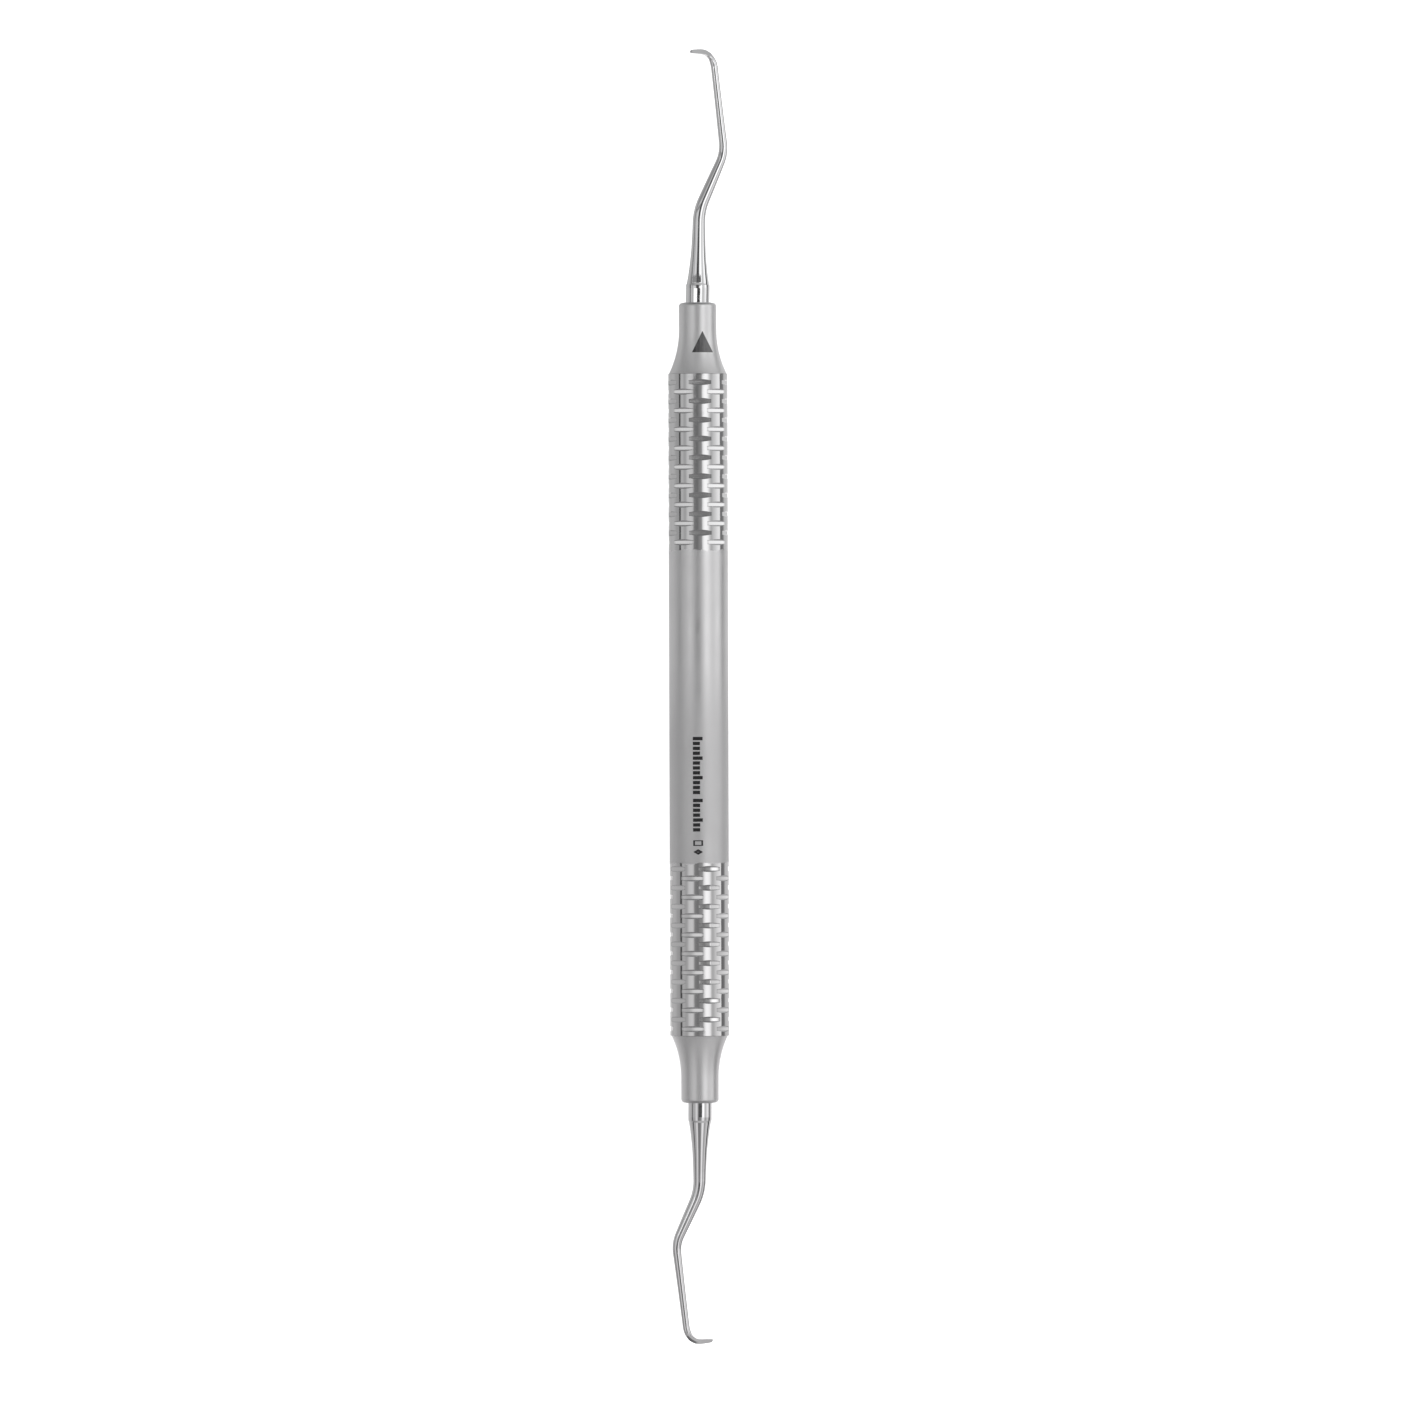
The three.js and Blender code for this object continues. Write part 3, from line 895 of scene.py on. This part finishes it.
# The tent is a tube round the X axis that only reflections see. Its glow is listed by direction:
# (degrees from straight up towards -Y and glow in the tent's +X half, the same in its -X half).
TENT_RADIUS = 500.0
TENT_GLOW = [
    (-180, 0.60, -180, 0.85),
    (-150, 0.55, -148, 0.84),
    (-139, 0.48, -138, 0.66),
    (-131, 0.52, -132, 0.55),
    (-118, 0.57, -116, 0.58),
    (-104, 0.54, -105, 0.53),
    (-95, 0.455, -95, 0.45),
    (-85, 0.43, -85, 0.42),
    (-78.5, 0.40, -80.5, 0.38),
    (-77.5, 0.08, -79.5, 0.08),
    (-72, 0.08, -71.5, 0.10),
    (-71, 0.56, -70.5, 0.46),
    (-62, 0.62, -62, 0.48),
    (-56, 0.50, -55, 0.45),
    (-51, 0.47, -49, 0.46),
    (-46, 0.60, -44, 0.58),
    (-41, 0.72, -40, 0.72),
    (-32, 0.72, -31, 0.78),
    (-24, 0.69, -26.5, 0.76),
    (-18.5, 0.60, -23.5, 0.60),
    (-15, 0.26, -19, 0.30),
    (-9, 0.20, -11, 0.26),
    (-3, 0.18, -5, 0.25),
    (2, 0.22, 1, 0.35),
    (9, 0.31, 9, 0.37),
    (14, 0.38, 12, 0.42),
    (17, 0.95, 17, 0.82),
    (22, 1.28, 22, 1.12),
    (29, 1.36, 28, 1.28),
    (36, 1.30, 36, 1.22),
    (39, 1.12, 43, 1.08),
    (44, 0.84, 46.5, 0.72),
    (51, 0.58, 50, 0.54),
    (56, 0.62, 56, 0.56),
    (62, 0.77, 62, 0.68),
    (70, 0.86, 70, 0.82),
    (80, 1.08, 80, 0.90),
    (87, 1.16, 87, 0.96),
    (94.5, 1.10, 92.5, 0.90),
    (95.5, 0.20, 93.5, 0.16),
    (108, 0.27, 108, 0.20),
    (115, 0.30, 114.5, 0.34),
    (119, 0.60, 118, 0.60),
    (130, 0.70, 130, 0.68),
    (142, 0.69, 142, 0.68),
    (150, 0.78, 150, 0.82),
    (180, 0.60, 180, 0.85),
]
# The tent's far ends are plainer: (degrees, glow).
TENT_ENDS = [
    (-180, 0.34), (-150, 0.36), (-130, 0.50), (-90, 0.38), (-65, 0.33), (-30, 0.46), (0, 0.51),
    (32, 0.60), (55, 0.60), (70, 0.59), (95, 0.52), (130, 0.50), (150, 0.42), (180, 0.34),
]
# Along X: (distance, how far the glow has faded into the ends' glow, how bright, contrast, how
# bright the part between SHADED_FROM and SHADED_TO is).
TENT_STATIONS = [
    (-1500, 1, 0.3, 1, 1), (-900, 1, 0.3, 1, 1), (-650, 1, 1, 1, 1), (-360, 1, 1, 1.2, 0.87),
    (-270, 0, 1, 1.2, 0.68), (-110, 0, 1, 1.2, 0.68), (-88, 0, 1, 1, 1), (80, 0, 1, 1, 1),
    (120, 0, 1, 1.35, 1), (270, 0, 1, 1.35, 1), (360, 1, 1, 1.2, 1), (650, 1, 1, 1, 1),
    (900, 1, 0.3, 1, 1), (1500, 1, 0.3, 1, 1),
]
SHADED_FROM, SHADED_TO = 5.0, 112.0
# The halves turn into each other this far on either side of the middle.
HALVES_MEET = 70.0
# Contrast is about MIDDLE_GLOW.
MIDDLE_GLOW = 0.6
LEAST_GLOW = 0.03
# Small cards hung inside the tent over the collars: (x from, x to, degrees from, to, glow).
TENT_CARDS = [
    (60.5, 90, -38, -6, 1.4), (60.5, 90, -5, 24, 0.04), (-90, -60.5, -12, 21, 0.08),
    (200, 245, -65, -15, 0.3), (200, 245, -15, 35, 0.12),
]
CARD_RADIUS = 495.0
CAP_SIDES = 24
CAP_GLOW = 0.15
# The -X half's light is this much redder, less green and bluer.
WARM = (1.012, 0.998, 1.002)
STEPS_PER_STRIPE = 2


def hung(x, degrees, radius):
    """A point of the tent at x and that many degrees from straight up towards -Y."""
    angle = math.radians(degrees)
    return x, -radius * math.sin(angle), radius * math.cos(angle)


def tent_glow(degrees, glow, station):
    """The glow at a station along X, from what the tent's middle glows in that direction."""
    _, fade, bright, contrast, shade = station
    glow += fade * (float(np.interp(degrees, *zip(*TENT_ENDS))) - glow)
    glow = max(LEAST_GLOW, MIDDLE_GLOW + contrast * (glow - MIDDLE_GLOW))
    if SHADED_FROM < degrees < SHADED_TO:
        glow *= shade
    return glow * bright


def light_tent():
    points, faces, colors = [], [], []
    for stripe, after in zip(TENT_GLOW, TENT_GLOW[1:]):
        for step in range(STEPS_PER_STRIPE):
            begin, finish = step / STEPS_PER_STRIPE, (step + 1) / STEPS_PER_STRIPE
            for low, high in zip(TENT_STATIONS, TENT_STATIONS[1:]):
                corners = ((low, begin), (high, begin), (high, finish), (low, finish))
                for station, share in corners:
                    x = station[0]
                    plus = min(1.0, max(0.0, (x + HALVES_MEET) / (2 * HALVES_MEET)))
                    here = [(1 - share) * a + share * b for a, b in zip(stripe, after)]
                    degrees = plus * here[0] + (1 - plus) * here[2]
                    glow = tent_glow(degrees, plus * here[1] + (1 - plus) * here[3], station)
                    points.append(hung(x, degrees, TENT_RADIUS))
                    warm = [1 + (w - 1) * (1 - plus) for w in WARM]
                    colors.append((*(glow * w for w in warm), 1.0))
                faces.append(range(len(points) - 4, len(points)))
    for x in (TENT_STATIONS[0][0], TENT_STATIONS[-1][0]):
        points += [hung(x, k * 360 / CAP_SIDES, TENT_RADIUS) for k in range(CAP_SIDES)]
        colors += [(CAP_GLOW, CAP_GLOW, CAP_GLOW, 1.0)] * CAP_SIDES
        faces.append(range(len(points) - CAP_SIDES, len(points)))
    for x0, x1, begin, finish, glow in TENT_CARDS:
        for x, degrees in ((x0, begin), (x1, begin), (x1, finish), (x0, finish)):
            points.append(hung(x, degrees, CARD_RADIUS))
            colors.append((glow, glow, glow, 1.0))
        faces.append(range(len(points) - 4, len(points)))
    mesh = bpy.data.meshes.new("light_tent")
    mesh.from_pydata((np.array(points) * MM).tolist(), [], [list(f) for f in faces])
    glow = mesh.color_attributes.new("glow", "FLOAT_COLOR", "POINT")
    glow.data.foreach_set("color", np.array(colors, np.float32).ravel())
    material = bpy.data.materials.new("tent_cloth")
    material.use_nodes = True
    material.node_tree.nodes.clear()
    lamp = material.node_tree.nodes.new("ShaderNodeEmission")
    color = material.node_tree.nodes.new("ShaderNodeAttribute")
    color.attribute_name = "glow"
    out = material.node_tree.nodes.new("ShaderNodeOutputMaterial")
    material.node_tree.links.new(color.outputs["Color"], lamp.inputs["Color"])
    material.node_tree.links.new(lamp.outputs["Emission"], out.inputs["Surface"])
    material.cycles.emission_sampling = "NONE"
    mesh.materials.append(material)
    tent = bpy.data.objects.new("light_tent", mesh)
    bpy.context.scene.collection.objects.link(tent)
    tent.visible_camera = False
    tent.visible_diffuse = False
    tent.visible_transmission = False
    tent.visible_shadow = False


FLOOR_HALF = 4000.0
# The floor lies just under the handle, which rests on z = 0.
FLOOR_DROP = 0.01
FLOOR_PALE = 0.9
FLOOR_GLOW = 0.6


def pale_floor():
    mesh = bpy.data.meshes.new("floor")
    low = -FLOOR_DROP * MM
    half = FLOOR_HALF * MM
    mesh.from_pydata(
        [(-half, -half, low), (half, -half, low), (half, half, low), (-half, half, low)],
        [], [(0, 1, 2, 3)],
    )
    material = bpy.data.materials.new("floor_paper")
    material.use_nodes = True
    shader = material.node_tree.nodes["Principled BSDF"]
    shader.inputs["Base Color"].default_value = (FLOOR_PALE, FLOOR_PALE, FLOOR_PALE, 1)
    shader.inputs["Roughness"].default_value = 0.9
    shader.inputs["Specular IOR Level"].default_value = 0.0
    shader.inputs["Emission Color"].default_value = (1, 1, 1, 1)
    shader.inputs["Emission Strength"].default_value = FLOOR_GLOW
    material.cycles.emission_sampling = "NONE"
    mesh.materials.append(material)
    floor = bpy.data.objects.new("floor", mesh)
    bpy.context.scene.collection.objects.link(floor)
    floor.visible_glossy = False


light_tent()
pale_floor()

scene = bpy.context.scene
world = bpy.data.worlds.new("studio")
world.use_nodes = True
world.node_tree.nodes["Background"].inputs["Color"].default_value = (1, 1, 1, 1)
world.node_tree.nodes["Background"].inputs["Strength"].default_value = 1.0
scene.world = world
scene.view_settings.view_transform = "Standard"

# ---- camera: straight above, with the handle almost upright in the picture ----

CAMERA_LENS = 400.0
CAMERA_SENSOR = 36.0
CAMERA_AT = (0.10, -0.437, HANDLE_RADIUS + 2108.0)
CAMERA_TURN = -90.173

camera = bpy.data.objects.new("camera", bpy.data.cameras.new("camera"))
scene.collection.objects.link(camera)
camera.data.lens = CAMERA_LENS
camera.data.sensor_width = CAMERA_SENSOR
camera.location = [v * MM for v in CAMERA_AT]
camera.rotation_euler = (0, 0, math.radians(CAMERA_TURN))
scene.camera = camera
